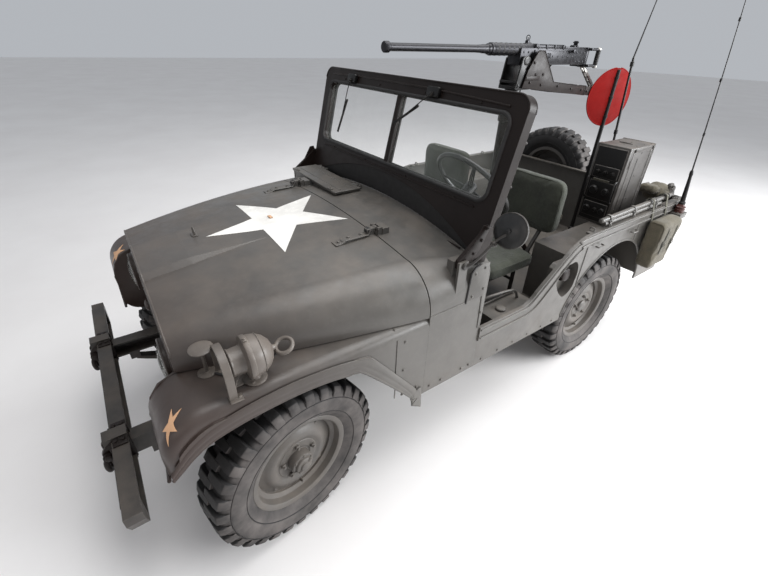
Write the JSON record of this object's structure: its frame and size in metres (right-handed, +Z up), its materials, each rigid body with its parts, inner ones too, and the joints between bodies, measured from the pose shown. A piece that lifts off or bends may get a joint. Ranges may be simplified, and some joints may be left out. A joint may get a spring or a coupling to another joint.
{
  "type": "open army 4x4 car with pedestal gun",
  "caption": "Small open army 4x4 car with folding windshield, opening hood, steered front wheels and a gun on a pedestal that traverses and elevates.",
  "frame": {"origin": "on the floor, under the middle of the car's overall length and width", "axes": "+Z up; -Y is the front of the car; +X is the driver's (left) side"},
  "size_m": [1.789, 3.5916, 2.2955],
  "materials": {
    "body_paint": "semi-gloss grey-olive paint",
    "chassis_paint": "satin dark olive paint, dusty",
    "frame_paint": "dark brown-black satin paint",
    "wheel_paint": "satin grey-olive paint",
    "engine_iron": "oily cast iron",
    "exhaust_steel": "dull rusty steel",
    "lamp_glass": "fluted lamp glass in a painted bucket",
    "window_glass": "clear flat glass",
    "black_steel": "black satin paint",
    "black_plastic": "black moulded plastic",
    "gun_steel": "dark phosphated steel",
    "radio_paint": "dark olive paint",
    "signal_red": "red paint",
    "tyre_rubber": "dusty black rubber",
    "seat_canvas": "grey-green canvas",
    "khaki_canvas": "khaki canvas",
    "tool_wood": "painted ash handles with steel heads"
  },
  "bodies": {
    "chassis": {"chassis_frame": "chassis_paint", "power_unit": "engine_iron", "prop_shafts": "chassis_paint", "exhaust": "exhaust_steel", "body_tub": "body_paint", "body_side_left": "body_paint", "body_side_right": "body_paint", "cowl": "body_paint", "fender_left": "body_paint", "fender_right": "body_paint", "grille": "body_paint", "headlamps": "lamp_glass", "radiator": "chassis_paint", "front_bumper": "chassis_paint", "rear_bumper": "chassis_paint", "front_axle": "chassis_paint", "rear_axle": "chassis_paint", "leaf_springs": "chassis_paint", "spare_tyre": "tyre_rubber", "spare_wheel": "wheel_paint", "steering_column": "black_steel", "driver_seat": "seat_canvas", "passenger_seat": "seat_canvas", "fuel_tank": "body_paint", "pedestal": "body_paint", "antennas": "black_steel", "radio_box": "radio_paint", "bow_tubes": "body_paint", "signal_disc": "signal_red", "side_bag": "khaki_canvas", "canvas_roll": "khaki_canvas", "jerry_can": "body_paint", "pioneer_tools": "tool_wood", "mirror": "body_paint", "blackout_lamp": "body_paint"},
    "hood": {"hood": "body_paint"},
    "battery_lid": {"battery_lid": "body_paint"},
    "windshield": {"windshield_frame": "frame_paint", "windshield_glass": "window_glass", "wipers": "black_steel"},
    "knuckle_left": {"knuckle_left": "chassis_paint"},
    "knuckle_right": {"knuckle_right": "chassis_paint"},
    "tie_rod": {"tie_rod": "chassis_paint"},
    "steering_wheel": {"steering_wheel": "black_plastic"},
    "gun_cradle": {"gun_cradle": "black_steel"},
    "machine_gun": {"machine_gun": "gun_steel", "gun_tray": "black_steel"},
    "road_wheel_front_left": {"tyre_front_left": "tyre_rubber", "wheel_front_left": "wheel_paint"},
    "road_wheel_front_right": {"tyre_front_right": "tyre_rubber", "wheel_front_right": "wheel_paint"},
    "road_wheel_rear_left": {"tyre_rear_left": "tyre_rubber", "wheel_rear_left": "wheel_paint"},
    "road_wheel_rear_right": {"tyre_rear_right": "tyre_rubber", "wheel_rear_right": "wheel_paint"}
  },
  "joints": [
    {"name": "steer_left", "type": "hinge", "parent": "chassis", "child": "knuckle_left", "pos_m": [0.6, -1.19975, 0.372], "axis": [0, 0, 1], "range_deg": [-34.5, 13.5]},
    {"name": "steer_right", "type": "hinge", "parent": "chassis", "child": "knuckle_right", "pos_m": [-0.6, -1.19975, 0.372], "axis": [0, 0, 1], "range_deg": [-35, 14]},
    {"name": "tie_rod_pivot", "type": "hinge", "parent": "knuckle_left", "child": "tie_rod", "pos_m": [0.62551, -1.33741, 0.396], "axis": [0, 0, 1], "range_deg": [-14, 35]},
    {"name": "steering_wheel_turn", "type": "hinge", "parent": "chassis", "child": "steering_wheel", "pos_m": [0.37, -0.04125, 1.25], "axis": [0, 0.766, 0.6428], "range_deg": [-591.5, 234.5]},
    {"name": "hood_hinge", "type": "hinge", "parent": "chassis", "child": "hood", "pos_m": [0, -0.60525, 1.151], "axis": [-1, 0, 0], "range_deg": [0, 80]},
    {"name": "battery_lid_hinge", "type": "hinge", "parent": "chassis", "child": "battery_lid", "pos_m": [0, -0.37325, 1.156], "axis": [-1, 0, 0], "range_deg": [0, 70]},
    {"name": "windshield_fold", "type": "hinge", "parent": "chassis", "child": "windshield", "pos_m": [0, -0.46125, 1.105], "axis": [-1, 0, 0], "range_deg": [-101, 0]},
    {"name": "gun_traverse", "type": "hinge", "parent": "chassis", "child": "gun_cradle", "pos_m": [0, 0.60375, 1.6], "axis": [0, 0, 1], "range_deg": [-90, 90]},
    {"name": "gun_elevation", "type": "hinge", "parent": "gun_cradle", "child": "machine_gun", "pos_m": [0, 0.60375, 1.768], "axis": [-1, 0, 0], "range_deg": [-5, 36]},
    {"name": "spin_front_left", "type": "hinge", "parent": "knuckle_left", "child": "road_wheel_front_left", "pos_m": [0.63933, -1.19246, 0.372], "axis": [0.9833, 0.1822, 0], "continuous": true},
    {"name": "spin_rear_left", "type": "hinge", "parent": "chassis", "child": "road_wheel_rear_left", "pos_m": [0.64, 0.85725, 0.372], "axis": [1, 0, 0], "continuous": true},
    {"name": "spin_front_right", "type": "hinge", "parent": "knuckle_right", "child": "road_wheel_front_right", "pos_m": [-0.63933, -1.20704, 0.372], "axis": [0.9833, 0.1822, 0], "continuous": true},
    {"name": "spin_rear_right", "type": "hinge", "parent": "chassis", "child": "road_wheel_rear_right", "pos_m": [-0.64, 0.85725, 0.372], "axis": [1, 0, 0], "continuous": true}
  ],
  "couplings": [
    {"joint": "steer_right", "follows": "steer_left", "ratio": 1},
    {"joint": "tie_rod_pivot", "follows": "steer_left", "ratio": -1},
    {"joint": "steering_wheel_turn", "follows": "steer_left", "ratio": 17}
  ]
}
